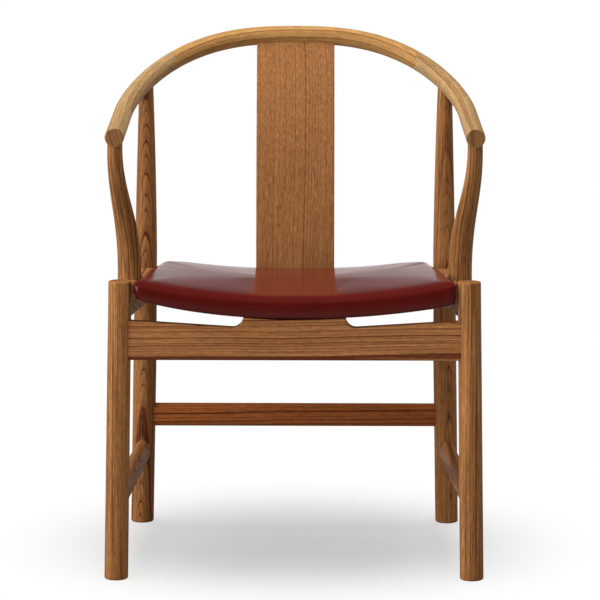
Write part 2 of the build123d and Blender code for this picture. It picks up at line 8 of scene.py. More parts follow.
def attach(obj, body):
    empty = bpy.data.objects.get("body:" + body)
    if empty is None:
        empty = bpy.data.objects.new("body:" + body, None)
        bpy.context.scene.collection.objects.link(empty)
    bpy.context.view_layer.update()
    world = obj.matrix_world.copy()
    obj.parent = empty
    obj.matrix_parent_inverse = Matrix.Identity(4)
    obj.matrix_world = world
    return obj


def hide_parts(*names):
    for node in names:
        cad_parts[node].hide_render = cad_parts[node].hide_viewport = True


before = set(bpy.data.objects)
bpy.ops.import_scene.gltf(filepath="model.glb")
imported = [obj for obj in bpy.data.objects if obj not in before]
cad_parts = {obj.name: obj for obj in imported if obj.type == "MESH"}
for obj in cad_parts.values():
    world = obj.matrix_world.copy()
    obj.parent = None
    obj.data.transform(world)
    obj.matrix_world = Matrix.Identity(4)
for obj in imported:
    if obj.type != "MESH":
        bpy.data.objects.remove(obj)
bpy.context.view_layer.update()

# ---------------------------------------------------------------- rear legs
# Each rear leg is turned from one length of hardwood, runs from the floor up to the top
# rail and is finished with oil. The heart of the plank lay behind the left leg, so its
# growth rings climb the front as pointed arches.


def paint(red, green, blue):
    """A colour given as it looks on screen, from 0 to 255, as linear light."""
    shares = [channel / 255 for channel in (red, green, blue)]
    light = [s / 12.92 if s <= 0.04045 else ((s + 0.055) / 1.055) ** 2.4 for s in shares]
    return (*light, 1.0)


def put(tree, kind, inputs=None, **settings):
    """Adds a shader node, with its settings and what its inputs take."""
    made = tree.nodes.new("ShaderNode" + kind)
    for name, value in settings.items():
        setattr(made, name, value)
    for name, value in (inputs or {}).items():
        if isinstance(value, bpy.types.NodeSocket):
            tree.links.new(value, made.inputs[name])
        else:
            made.inputs[name].default_value = value
    return made


def calc(tree, operation, *values, clamp=False):
    """One step of arithmetic between sockets and numbers."""
    inputs = dict(enumerate(values))
    return put(tree, "Math", inputs, operation=operation, use_clamp=clamp).outputs[0]


def plus(tree, base, value, amount):
    """The base with an amount of the value added, or taken off where it is negative."""
    return calc(tree, "ADD", base, calc(tree, "MULTIPLY", value, amount))


def swing(tree, value, amount):
    """A noise from 0 to 1 turned into a swing to both sides of nothing."""
    return calc(tree, "MULTIPLY", calc(tree, "SUBTRACT", value, 0.5), amount)


def step(tree, value, low, high):
    """Smooth rise from 0 at low to 1 at high."""
    inputs = {"Value": value, "From Min": low, "From Max": high}
    return put(tree, "MapRange", inputs, interpolation_type="SMOOTHSTEP").outputs[0]


def calc_vector(tree, operation, first, second):
    """One step of arithmetic between two vectors."""
    return put(tree, "VectorMath", {0: first, 1: second}, operation=operation).outputs[0]


def stretch(tree, vector, across, through, along):
    """A vector scaled by a number on each axis."""
    return calc_vector(tree, "MULTIPLY", vector, (across, through, along))


def scaled(tree, vector, amount):
    """A vector or colour scaled by one amount."""
    return put(tree, "VectorMath", {0: vector, "Scale": amount}, operation="SCALE").outputs[0]


def length(tree, vector):
    """How long a vector is."""
    return put(tree, "VectorMath", {0: vector}, operation="LENGTH").outputs["Value"]


def parts(tree, vector):
    """The three numbers of a vector."""
    return put(tree, "SeparateXYZ", {0: vector}).outputs


def noise(tree, vector, detail=2.0):
    """Soft noise from 0 to 1, one blot to each unit of the vector."""
    return put(tree, "TexNoise", {"Vector": vector, "Scale": 1.0, "Detail": detail}).outputs[0]


def blend(tree, share, first, second):
    """Colour between two colours."""
    return put(tree, "Mix", {0: share, 6: first, 7: second}, data_type="RGBA").outputs[2]


def shader_group(name, inputs, outputs):
    """Empty node group with named inputs and outputs."""
    tree = bpy.data.node_groups.new(name, "ShaderNodeTree")
    for way, sockets in (("INPUT", inputs), ("OUTPUT", outputs)):
        for label, kind in sockets.items():
            tree.interface.new_socket(name=label, in_out=way, socket_type="NodeSocket" + kind)
    return tree, tree.nodes.new("NodeGroupInput").outputs, tree.nodes.new("NodeGroupOutput").inputs


# Growth rings, vessels and fibres of a hardwood. Grain is in metres with its third axis
# along the fibres; Heart is where the tree's heart lies across them, Lean is how far the
# rings lean over for each metre of length, and Line is the share of a year that is dark.
wood_grain, given, result = shader_group(
    "wood_grain",
    {
        "Grain": "Vector",
        "Heart": "Vector",
        "Lean": "Float",
        "Ring width": "Float",
        "Line": "Float",
        "Wander": "Float",
        "Rings": "Float",
        "Streaks": "Float",
        "Pale wood": "Color",
        "Dark wood": "Color",
        "End": "Float",
    },
    {"Color": "Color", "Roughness": "Float", "Height": "Float"},
)
# Blots to the metre across, through and along the fibres, for each marking of the wood
wander_scale, cloud_scale, streak_scale = (8.0, 8.0, 2.2), (16.0, 16.0, 3.4), (360.0, 360.0, 6.0)
fleck_scale, fibre_scale = (430.0, 430.0, 75.0), (1150.0, 1150.0, 26.0)
vessel_scale = (1500.0, 1500.0, 60.0)
# Seasons widen and narrow the rings; a year's dark line closes sharply and varies in strength
season_scale, season_swing = 0.37, 2.2
line_peak, line_close = 0.955, 0.96
faintest_line, late_wood_depth = 0.45, 0.3
mean_darkness, end_darkness = 0.38, 0.30
# How much each marking lightens and darkens the wood, dulls its oil or stands off its surface
vessel_from, vessel_to, vessel_depth = 0.60, 0.70, 0.16
cloud_least, cloud_depth, fibre_depth, fleck_depth = 0.86, 0.28, 0.4, 1.1
oil_dullness, fibre_dullness, end_dullness = 0.50, 0.14, 0.1
vessel_hollow, late_wood_hollow = 0.7, 0.25
unchanged, oil_soaked = (1.0, 1.0, 1.0, 1.0), (1.0, 0.76, 0.66, 1.0)

grain = given["Grain"]
slow_noise = put(wood_grain, "TexNoise", {
    "Vector": stretch(wood_grain, grain, *wander_scale),
    "Scale": 1.0,
    "Detail": 2.5,
}).outputs[1]
offset = calc_vector(wood_grain, "SUBTRACT", slow_noise, (0.5, 0.5, 0.5))
offset = scaled(wood_grain, offset, given["Wander"])
from_heart = calc_vector(wood_grain, "SUBTRACT", grain, given["Heart"])
from_heart = calc_vector(wood_grain, "ADD", from_heart, offset)
radius = length(wood_grain, stretch(wood_grain, from_heart, 1.0, 1.0, 0.0))
height_on_tree = parts(wood_grain, from_heart)[2]
leaned = calc(wood_grain, "MULTIPLY", height_on_tree, given["Lean"])
radius = calc(wood_grain, "SUBTRACT", radius, leaned)
age = calc(wood_grain, "DIVIDE", radius, given["Ring width"])
season_inputs = {"W": age, "Scale": season_scale, "Detail": 1.0}
season = put(wood_grain, "TexNoise", season_inputs, noise_dimensions="1D").outputs[0]
age = plus(wood_grain, age, season, season_swing)
part_of_year = calc(wood_grain, "FRACT", age)
whole_years = {"W": calc(wood_grain, "FLOOR", age)}
year = put(wood_grain, "TexWhiteNoise", whole_years, noise_dimensions="1D").outputs[0]
line_start = calc(wood_grain, "SUBTRACT", line_close, given["Line"])
line = step(wood_grain, part_of_year, line_start, line_peak)
closed = calc(wood_grain, "SUBTRACT", 1.0, step(wood_grain, part_of_year, line_close, 1.0))
line = calc(wood_grain, "MULTIPLY", line, closed)
line = calc(wood_grain, "MULTIPLY", line, plus(wood_grain, faintest_line, year, 1 - faintest_line))
late_wood = calc(wood_grain, "POWER", part_of_year, 2.0)
late_wood = calc(wood_grain, "MULTIPLY", late_wood, late_wood_depth)
late_wood = calc(wood_grain, "MAXIMUM", line, late_wood)

streak = noise(wood_grain, stretch(wood_grain, grain, *streak_scale), 4.0)
fibre = noise(wood_grain, stretch(wood_grain, grain, *fibre_scale))
vessel = noise(wood_grain, stretch(wood_grain, grain, *vessel_scale), 1.0)
vessel = step(wood_grain, vessel, vessel_from, vessel_to)
fleck = noise(wood_grain, stretch(wood_grain, grain, *fleck_scale), 3.0)
cloud = noise(wood_grain, stretch(wood_grain, grain, *cloud_scale), 3.0)

darkness = calc(wood_grain, "MULTIPLY", late_wood, given["Rings"])
streaking = calc(wood_grain, "ADD", swing(wood_grain, streak, given["Streaks"]), mean_darkness)
darkness = calc(wood_grain, "ADD", darkness, streaking, clamp=True)
tint = blend(wood_grain, darkness, given["Pale wood"], given["Dark wood"])
shade = plus(wood_grain, cloud_least, cloud, cloud_depth)
shade = calc(wood_grain, "ADD", shade, swing(wood_grain, fibre, fibre_depth))
shade = calc(wood_grain, "ADD", shade, swing(wood_grain, fleck, fleck_depth))
shade = plus(wood_grain, shade, vessel, -vessel_depth)
shade = plus(wood_grain, shade, given["End"], -end_darkness)
end_tint = blend(wood_grain, given["End"], unchanged, oil_soaked)
tint = calc_vector(wood_grain, "MULTIPLY", tint, end_tint)
wood_grain.links.new(scaled(wood_grain, tint, shade), result["Color"])
roughness = plus(wood_grain, oil_dullness, fibre, fibre_dullness)
roughness = plus(wood_grain, roughness, given["End"], end_dullness)
wood_grain.links.new(roughness, result["Roughness"])
relief = plus(wood_grain, fibre, vessel, -vessel_hollow)
relief = plus(wood_grain, relief, late_wood, -late_wood_hollow)
wood_grain.links.new(relief, result["Height"])

# Which axes lie across, through and along the fibres of a piece that runs along X, Y or Z
ALONG = {"X": (1, 2, 0), "Y": (0, 2, 1), "Z": (0, 1, 2)}
# A face counts as end grain where it turns this far towards the fibres
end_from, end_to, end_share = 0.9, 0.98, 0.2
grain_relief = 0.0004


def oiled_wood(name, pale, dark, heart, along="Z", lean=0.0, ring_width=0.005, line=0.3,
               wander=0.006, rings=0.8, streaks=0.5, sway=None, polish=0.12):
    """Oiled hardwood whose fibres run along one axis, or along the mesh's own grain."""
    material = bpy.data.materials.new(name)
    material.use_nodes = True
    tree = material.node_tree
    shader = tree.nodes["Principled BSDF"]
    if along == "mesh":
        grain = put(tree, "Attribute", attribute_name="grain").outputs["Vector"]
        end = put(tree, "Attribute", attribute_name="end_grain").outputs["Fac"]
    else:
        place = put(tree, "TexCoord").outputs["Object"]
        axes = parts(tree, place)
        picked = {i: axes[axis] for i, axis in enumerate(ALONG[along])}
        if sway:
            picked = sway(tree, axes)
        grain = put(tree, "CombineXYZ", picked).outputs[0]
        normal = parts(tree, put(tree, "NewGeometry").outputs["Normal"])
        facing = calc(tree, "ABSOLUTE", normal[ALONG[along][2]])
        end = calc(tree, "MULTIPLY", step(tree, facing, end_from, end_to), end_share)
    wood = put(tree, "Group", {
        "Grain": grain,
        "Heart": heart,
        "Lean": lean,
        "Ring width": ring_width,
        "Line": line,
        "Wander": wander,
        "Rings": rings,
        "Streaks": streaks,
        "Pale wood": pale,
        "Dark wood": dark,
        "End": end,
    }, node_tree=wood_grain)
    relief = {"Strength": 0.3, "Distance": grain_relief, "Height": wood.outputs["Height"]}
    bump = put(tree, "Bump", relief)
    tree.links.new(wood.outputs["Color"], shader.inputs["Base Color"])
    tree.links.new(wood.outputs["Roughness"], shader.inputs["Roughness"])
    tree.links.new(bump.outputs[0], shader.inputs["Normal"])
    shader.inputs["Specular IOR Level"].default_value = polish
    return material


def finish_node(name, material):
    """Gives a carried solid its material."""
    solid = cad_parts[name]
    solid.data.materials.clear()
    solid.data.materials.append(material)


leg_pale, leg_dark = paint(190, 132, 76), paint(90, 40, 15)
finish_node("rear_leg_left", oiled_wood(
    "rear_leg_left_wood", leg_pale, leg_dark, (-0.243, 0.205, 0.0), lean=0.04,
    ring_width=0.0018, line=0.13, rings=1.2, wander=0.002, streaks=0.9))
finish_node("rear_leg_right", oiled_wood(
    "rear_leg_right_wood", leg_pale, leg_dark, (0.225, 0.220, 0.0), lean=0.024,
    ring_width=0.0019, line=0.2, rings=0.6, wander=0.004, streaks=1.3))

# ---------------------------------------------------------------- front legs
# The front legs are straight, slightly tapered round bars of the same oiled wood, cut off
# square above the seat rails with their top edges rounded over by hand.
finish_node("front_leg_left", oiled_wood(
    "front_leg_left_wood", leg_pale, leg_dark, (-0.38, -0.20, 0.0), lean=0.004, ring_width=0.0042,
    wander=0.003, rings=0.5, streaks=1.6))
finish_node("front_leg_right", oiled_wood(
    "front_leg_right_wood", leg_pale, leg_dark, (0.40, -0.21, 0.0), lean=0.006, ring_width=0.0046,
    wander=0.003, rings=0.5, streaks=1.6))

# ---------------------------------------------------------------- seat rails
# Four rails tie the legs together under the seat. The front one is a flat board sawn to a
# low hump that carries the seat; the side ones slope down to the back.
rail_pale, rail_dark = paint(202, 140, 84), paint(102, 49, 24)
finish_node("front_seat_rail", oiled_wood(
    "front_rail_wood", rail_pale, rail_dark, (-0.22, 0.10, 0.0), along="X", lean=0.012,
    ring_width=0.0066, line=0.2, wander=0.014, rings=1.3, streaks=1.0))
finish_node("rear_seat_rail", oiled_wood(
    "rear_rail_wood", rail_pale, rail_dark, (0.3, 0.2, 0.0), along="X", ring_width=0.006))
for side, x in (("left", -0.35), ("right", 0.36)):
    finish_node(f"side_seat_rail_{side}", oiled_wood(
        f"side_rail_{side}_wood", rail_pale, rail_dark, (x, 0.36, 0.0), along="Y", lean=-0.05,
        ring_width=0.007, rings=0.7, polish=0.03))

# ---------------------------------------------------------------- stretchers
# Three flat-sided stretchers with half-round edges brace the legs below the seat, two at
# the sides near the floor and one higher up at the back.
stretcher_pale, stretcher_dark = paint(198, 114, 57), paint(100, 45, 17)
finish_node("rear_stretcher", oiled_wood(
    "rear_stretcher_wood", stretcher_pale, stretcher_dark, (0.10, 0.06, 0.0), along="X", lean=0.01,
    ring_width=0.007, wander=0.012, streaks=0.8))
for side, x in (("left", -0.40), ("right", 0.42)):
    finish_node(f"side_stretcher_{side}", oiled_wood(
        f"side_stretcher_{side}_wood", leg_pale, leg_dark, (x, 0.05, 0.0), along="Y", lean=0.01))

# ---------------------------------------------------------------- back splat
# The splat is one broad, thin board of straight-grained wood, bent to the sitter's back and
# tenoned into the rear rail and the underside of the crest.
finish_node("back_splat", oiled_wood(
    "splat_wood", paint(185, 130, 78), paint(110, 57, 25), (-0.42, 0.2, 0.0), lean=0.002,
    ring_width=0.0052, line=0.3, wander=0.003, rings=0.45, streaks=0.8))

# ---------------------------------------------------------------- arm posts
# Each arm post is shaped by hand from one piece: stout where it stands on the side rail,
# then curving forward and thinning up to the underside of the arm.
post_foot_z, post_top_z = 0.4443, 0.6745
post_sway = {"left": (-0.0151, -0.075), "right": (0.0151, -0.075)}
sway_start, sway_end = 0.12, 0.86


def post_axes(side):
    """Grain of a post that follows its sweep from the foot to the arm."""
    def picked(tree, axes):
        span = post_top_z - post_foot_z
        low, high = post_foot_z + sway_start * span, post_foot_z + sway_end * span
        share = step(tree, axes[2], low, high)
        across, through = (plus(tree, axes[k], share, -post_sway[side][k]) for k in (0, 1))
        return {0: across, 1: through, 2: axes[2]}
    return picked


for side, heart in (("left", (-0.33, -0.10, 0.0)), ("right", (0.34, -0.09, 0.0))):
    finish_node(f"arm_post_{side}", oiled_wood(
        f"arm_post_{side}_wood", paint(192, 135, 78), paint(88, 42, 17), heart, lean=0.004,
        ring_width=0.0036, wander=0.0025, rings=0.7, streaks=1.4, sway=post_axes(side)))

# ---------------------------------------------------------------- top rail
# The horseshoe is a bent round rod in three lengths: two arms of pale wood and a browner
# crest rail between them. Each end of the crest is a round-tipped tongue, glued into an arm.
rod_radius = 0.0147
arm_half_span = 0.2722
arm_tip_y, arm_tip_z, arm_slope = -0.225, 0.6725, 0.06
bend_start_y, crown_y, crown_z = -0.0094, 0.2577, 0.7953
plan_squareness, rise_exponent = 2.57, 1.6
splice_angle, splice_depth, splice_rounding = radians(47), 0.015, 0.006
tip_rounding = 0.0016
joint_bevel, joint_bevel_run = 0.00025, 0.0005
rod_sides, arm_steps, crest_steps, tip_steps = 48, 110, 100, 5
crease = radians(50)
straight_steps, bend_steps, bend_crowding = 40, 240, 1.1


def arm_line_z(y):
    """Height of the straight arm's centre line, carried on to any y."""
    return arm_tip_z + arm_slope * (y - arm_tip_y)


def bend_point(angle):
    """Centre line of the right bend, from 0 at the arm to a quarter turn at the crown."""
    across = cos(angle) ** (2 / plan_squareness) if angle < pi / 2 else 0.0
    y = bend_start_y + (crown_y - bend_start_y) * sin(angle) ** (2 / plan_squareness)
    climb = (crown_z - arm_line_z(crown_y)) * sin(angle) ** rise_exponent
    return Vector((arm_half_span * across, y, arm_line_z(y) + climb))


straight = [
    Vector((arm_half_span, y, arm_line_z(y)))
    for y in (
        arm_tip_y + k / straight_steps * (bend_start_y - arm_tip_y) for k in range(straight_steps)
    )
]
half_line = straight + [
    bend_point(pi / 2 * (k / bend_steps) ** bend_crowding) for k in range(bend_steps + 1)
]
rod_line = half_line + [Vector((-p.x, p.y, p.z)) for p in reversed(half_line[:-1])]
rod_run = [0.0]
for before, after in zip(rod_line, rod_line[1:]):
    rod_run.append(rod_run[-1] + (after - before).length)
crown_run = rod_run[len(half_line) - 1]


def on_rod(run):
    """Centre, outward and upward directions of the rod at a length from the right tip."""
    k = min(max(bisect(rod_run, run) - 1, 0), len(rod_line) - 2)
    share = (run - rod_run[k]) / (rod_run[k + 1] - rod_run[k])
    centre = rod_line[k].lerp(rod_line[k + 1], share)
    low, high = max(k - 1, 0), min(k + 2, len(rod_line) - 1)
    near, far = rod_line[k + 1] - rod_line[low], rod_line[high] - rod_line[k]
    ahead = near.normalized().lerp(far.normalized(), share).normalized()
    outward = ahead.cross(Vector((0, 0, 1))).normalized()
    return centre, outward, outward.cross(ahead).normalized()


def rod_surface(run, turn, radius):
    """Point of the rod's skin."""
    centre, outward, upward = on_rod(run)
    return centre + (outward * cos(turn) + upward * sin(turn)) * radius


nearby = 0.01
before, after = bend_point(splice_angle - nearby), bend_point(splice_angle + nearby)
splice_along = (after - before).normalized()
splice_up = Vector((splice_along.y, -splice_along.x, 0)).normalized().cross(splice_along)
splice_tip = bend_point(splice_angle) - splice_along * splice_depth / 2


def tongue(height):
    """How far the joint lies from the tongue's sharp tip, at a height off its middle."""
    slant = sqrt(rod_radius ** 2 + splice_depth ** 2)
    if height > splice_rounding * splice_depth / slant:
        return splice_depth * height / rod_radius
    return splice_rounding * slant / rod_radius - sqrt(splice_rounding ** 2 - height ** 2)


def splice_run(turn, radius):
    """Where a line inside the rod, or on its skin, meets the right splice, by closing in."""
    first_guess, rounds, stride = 0.6, 24, 0.8
    run = crown_run * first_guess
    for _ in range(rounds):
        gap = rod_surface(run, turn, radius) - splice_tip
        run -= stride * (gap.dot(splice_along) - tongue(abs(gap.dot(splice_up))))
    return run


def show(name, mesh, material):
    """Puts a mesh in the scene as a piece of the chair."""
    piece = bpy.data.objects.new(name, mesh)
    bpy.context.scene.collection.objects.link(piece)
    mesh.materials.append(material)
    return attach(piece, "root")


def rod_mesh(name, start, end, steps, rounded, mirrored=False, grain_shift=0.0):
    """Closed skin of a length of rod. start and end give the run for a turn and a radius,
    and a rounded start is the arm's tip."""
    rim = rod_radius - tip_rounding if rounded else rod_radius - joint_bevel
    rows = [(start, 0.0, rim * level) for level in (0.2, 0.4, 0.6, 0.8, 0.92)]
    flat_rows = len(rows) + 1
    if rounded:
        for k in range(tip_steps + 1):
            roll = pi / 2 * k / tip_steps
            rows.append((start, tip_rounding * (1 - cos(roll)), rim + tip_rounding * sin(roll)))
    else:
        rows += [(start, 0.0, rim), (start, joint_bevel_run, rod_radius)]
    rows += [(k / steps, 0.0, rod_radius) for k in range(1, steps)]
    rim = rod_radius - joint_bevel
    rows += [(end, -joint_bevel_run, rod_radius), (end, 0.0, rim)]
    rows += [(end, 0.0, rim * level) for level in (0.8, 0.6, 0.4, 0.2)]
    points, grains, end_mask, faces = [], [], [], []

    def add_point(run, turn, radius, is_end):
        point = rod_surface(run, turn, radius)
        points.append((-point.x if mirrored else point.x, point.y, point.z))
        grains.extend((radius * cos(turn), radius * sin(turn), run + grain_shift))
        end_mask.append(1.0 if is_end else 0.0)

    add_point(start(0.0, 0.0), 0.0, 0.0, rounded)
    for row, (place, shift, radius) in enumerate(rows):
        for k in range(rod_sides):
            turn = tau * k / rod_sides
            if callable(place):
                run = place(turn, radius) + shift
            else:
                first, last = start(turn, rod_radius), end(turn, rod_radius)
                run = first + (last - first) * place
            add_point(run, turn, radius, rounded and row < flat_rows)
    add_point(end(0.0, 0.0), 0.0, 0.0, False)
    last_point = len(points) - 1
    for k in range(rod_sides):
        n = (k + 1) % rod_sides
        faces.append((0, 1 + n, 1 + k))
        for row in range(len(rows) - 1):
            here, ahead = 1 + row * rod_sides, 1 + (row + 1) * rod_sides
            faces.append((here + k, here + n, ahead + n, ahead + k))
        outer = 1 + (len(rows) - 1) * rod_sides
        faces.append((last_point, outer + k, outer + n))
    if mirrored:
        faces = [face[::-1] for face in faces]
    mesh = bpy.data.meshes.new(name)
    mesh.from_pydata(points, [], faces)
    mesh.attributes.new("grain", "FLOAT_VECTOR", "POINT").data.foreach_set("vector", grains)
    mesh.attributes.new("end_grain", "FLOAT", "POINT").data.foreach_set("value", end_mask)
    mesh.shade_smooth()
    mesh.set_sharp_from_angle(angle=crease)
    return mesh


def at_tip(turn, radius):
    """The arm is cut off square at its tip."""
    return 0.0


def at_left_splice(turn, radius):
    """The left splice mirrors the right one."""
    return rod_run[-1] - splice_run(turn, radius)


arm_pale, arm_dark = paint(199, 166, 115), paint(138, 96, 56)
another_plank = 3.0
for side, heart in (("left", (-0.16, 0.05, 0.0)), ("right", (0.19, 0.02, 0.0))):
    mirrored = side == "left"
    arm = show(
        f"arm_rod_{side}",
        rod_mesh(f"arm_rod_{side}", at_tip, splice_run, arm_steps, True, mirrored,
                 another_plank * mirrored),
        oiled_wood(f"arm_{side}_wood", arm_pale, arm_dark, heart, along="mesh", lean=0.006,
                   ring_width=0.0052, line=0.2, wander=0.006, rings=0.9, streaks=0.6),
    )
    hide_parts(f"arm_rail_{side}")
crest = show(
    "crest_rod",
    rod_mesh("crest_rod", splice_run, at_left_splice, crest_steps, False),
    oiled_wood("crest_wood", paint(208, 162, 98), paint(138, 84, 40), (-0.02, -0.11, 0.0),
               along="mesh", ring_width=0.0085, line=0.16, wander=0.010, rings=1.0, streaks=0.5),
)
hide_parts("crest_rail")

# ---------------------------------------------------------------- cleats and screws
# Two plain sawn cleats are screwed to the insides of the front and rear rails, and more
# screws go up through them into the seat. They are left without oil.
for side, y in (("front", -0.2), ("rear", 0.1)):
    finish_node(f"{side}_seat_cleat", oiled_wood(
        f"{side}_cleat_wood", paint(196, 158, 112), paint(142, 100, 60), (y, 0.2, 0.0), along="X",
        ring_width=0.006, rings=0.5))


def screw_steel():
    """Plain zinc-bright steel with fine turning marks."""
    material = bpy.data.materials.new("screw_steel")
    material.use_nodes = True
    tree = material.node_tree
    shader = tree.nodes["Principled BSDF"]
    place = put(tree, "TexCoord").outputs["Object"]
    marks = noise(tree, stretch(tree, place, 900.0, 900.0, 900.0), 3.0)
    zinc = blend(tree, marks, paint(150, 150, 148), paint(196, 196, 192))
    tree.links.new(zinc, shader.inputs["Base Color"])
    tree.links.new(plus(tree, 0.25, marks, 0.2), shader.inputs["Roughness"])
    shader.inputs["Metallic"].default_value = 1.0
    return material


steel = screw_steel()
finish_node("seat_screws", steel)
finish_node("cleat_screws", steel)

# ---------------------------------------------------------------- seat
# The seat is a moulded plywood saddle under a foam pad, with one hide of glossy burgundy
# leather drawn over both and turned in underneath, where a thin black cloth covers the middle.
seat_front_y, seat_rear_y = -0.270, 0.137
seat_front_half, seat_rear_half, seat_side_bow = 0.2438, 0.2140, 0.0019
seat_front_bottom, seat_rear_bottom = 0.4023, 0.3972
seat_front_thick, seat_rear_thick = 0.0351, 0.0277
seat_dish = 0.0040
slack_crown = 0.0006
under_front_radius, over_front_radius = 0.930, 1.200
under_rear_radius, over_rear_radius = 1.720, 1.600
rear_corner, front_corner = 0.042, 0.013
front_roll, edge_roll = (0.024, 0.0135), (0.014, 0.009)
roll_steps, roll_turn = 7, radians(80)
foot_inset, foot_roll = 0.0080, 0.0160
wall_rows, held_wall_rows = 7, 3
boxing_lean_start, boxing_lean_square = 0.6, 0.16
seat_cell = 0.0075
swell_limit, swell_frames = 0.0045, 20


def seat_place(y):
    """Share of the way from the seat's front edge to its rear edge."""
    return (y - seat_front_y) / (seat_rear_y - seat_front_y)


def seat_height(x, y, over):
    """Height of the seat's upper or lower face."""
    place = seat_place(y)
    height = seat_front_bottom + place * (seat_rear_bottom - seat_front_bottom)
    if over:
        height += seat_front_thick + place * (seat_rear_thick - seat_front_thick)
        height += slack_crown * 4 * place * (1 - place)
        bend = (1 - place) / over_front_radius + place / over_rear_radius
    else:
        height -= seat_dish * 4 * place * (1 - place)
        bend = (1 - place) / under_front_radius + place / under_rear_radius
    return height + bend * x * x / 2


def seat_half_width(y):
    """Half the seat's width, which bows out a little between its corners."""
    place = seat_place(y)
    width = seat_front_half + place * (seat_rear_half - seat_front_half)
    return width + seat_side_bow * 4 * place * (1 - place)


def spaced(reach, roll):
    """Insets from the seat's edge to its middle: close over the rolled edge, then even."""
    rolled = [roll[0] * (1 - sin(roll_turn * (1 - k / roll_steps))) for k in range(roll_steps)]
    count = round((reach - roll[0]) / seat_cell)
    return rolled + [roll[0] + (reach - roll[0]) * k / count for k in range(count + 1)]


def seat_plan(inset_x, inset_y, side, front):
    """Plan position of a grid point given by its insets, with the corners rounded."""
    corner = front_corner if front else rear_corner
    wide, deep = corner - inset_x, corner - inset_y
    if wide > 0 and deep > 0:
        reach = max(wide, deep)
        turn = pi / 4 * deep / wide if wide >= deep else pi / 2 - pi / 4 * wide / deep
        inset_x, inset_y = corner - reach * cos(turn), corner - reach * sin(turn)
    y = seat_front_y + inset_y if front else seat_rear_y - inset_y
    return side * (seat_half_width(y) - inset_x), y


def rolled_down(inset_x, inset_y, front):
    """How far the rolled top edge has come down at the given insets."""
    roll = front_roll if front else edge_roll
    across = max(1 - inset_x / edge_roll[0], 0.0) ** 2
    back = max(1 - inset_y / roll[0], 0.0) ** 2
    if not across + back:
        return 0.0
    drop = (edge_roll[1] * across + roll[1] * back) / (across + back)
    return drop * (1 - sqrt(1 - min(max(across, back), sin(roll_turn) ** 2)))


def wall_inset(share, tall, start):
    """How far the boxing stands in, from its tucked-in foot to the start of the rolled edge."""
    tuck = foot_inset * max(1 - tall * share / foot_roll, 0.0) ** 2
    return tuck + start * max(share - boxing_lean_start, 0.0) ** 2 / boxing_lean_square


def seat_mesh(name):
    """Closed skin of the seat, and the points of its underside that stay where they are."""
    half = spaced(seat_rear_half, edge_roll)
    columns = [(inset, -1) for inset in half] + [(inset, 1) for inset in reversed(half[:-1])]
    half_depth = (seat_rear_y - seat_front_y) / 2
    rows = [(inset, True) for inset in spaced(half_depth, front_roll)]
    rows += [(inset, False) for inset in reversed(spaced(half_depth, edge_roll)[:-1])]
    wide, deep = len(columns), len(rows)
    points, faces, where = [], [], {}
    for layer in ("over", "under"):
        for j, (inset_y, front) in enumerate(rows):
            for i, (inset_x, side) in enumerate(columns):
                if layer == "under":
                    inset_x = foot_inset + inset_x * (1 - foot_inset / seat_rear_half)
                    inset_y = foot_inset + inset_y * (1 - foot_inset / half_depth)
                x, y = seat_plan(inset_x, inset_y, side, front)
                z = seat_height(x, y, layer == "over")
                if layer == "over":
                    z -= rolled_down(inset_x, inset_y, front)
                where[layer, i, j] = len(points)
                points.append((x, y, z))
    rim = [(i, 0) for i in range(wide)] + [(wide - 1, j) for j in range(1, deep)]
    rim += [(i, deep - 1) for i in range(wide - 2, -1, -1)]
    rim += [(0, j) for j in range(deep - 2, 0, -1)]
    for row in range(1, wall_rows):
        share = row / wall_rows
        for i, j in rim:
            (inset_x, side), (inset_y, front) = columns[i], rows[j]
            low = points[where["under", i, j]][2]
            tall = points[where["over", i, j]][2] - low
            if i in (0, wide - 1):
                inset_x = wall_inset(share, tall, inset_x)
            if j in (0, deep - 1):
                inset_y = wall_inset(share, tall, inset_y)
            x, y = seat_plan(inset_x, inset_y, side, front)
            where[row, i, j] = len(points)
            points.append((x, y, low + tall * share))
    for j in range(deep - 1):
        for i in range(wide - 1):
            quad = [(i, j), (i + 1, j), (i + 1, j + 1), (i, j + 1)]
            faces.append(tuple(where["over", a, b] for a, b in quad))
            faces.append(tuple(where["under", a, b] for a, b in reversed(quad)))
    bands = ["under"] + list(range(1, wall_rows)) + ["over"]
    for low, high in zip(bands, bands[1:]):
        for k, (i, j) in enumerate(rim):
            a, b = rim[(k + 1) % len(rim)]
            faces.append((where[low, i, j], where[low, a, b], where[high, a, b], where[high, i, j]))
    mesh = bpy.data.meshes.new(name)
    mesh.from_pydata(points, [], faces)
    mesh.shade_smooth()
    held_layers = ["under"] + list(range(1, held_wall_rows + 1))
    still = [k for (layer, i, j), k in where.items() if layer in held_layers]
    return mesh, still


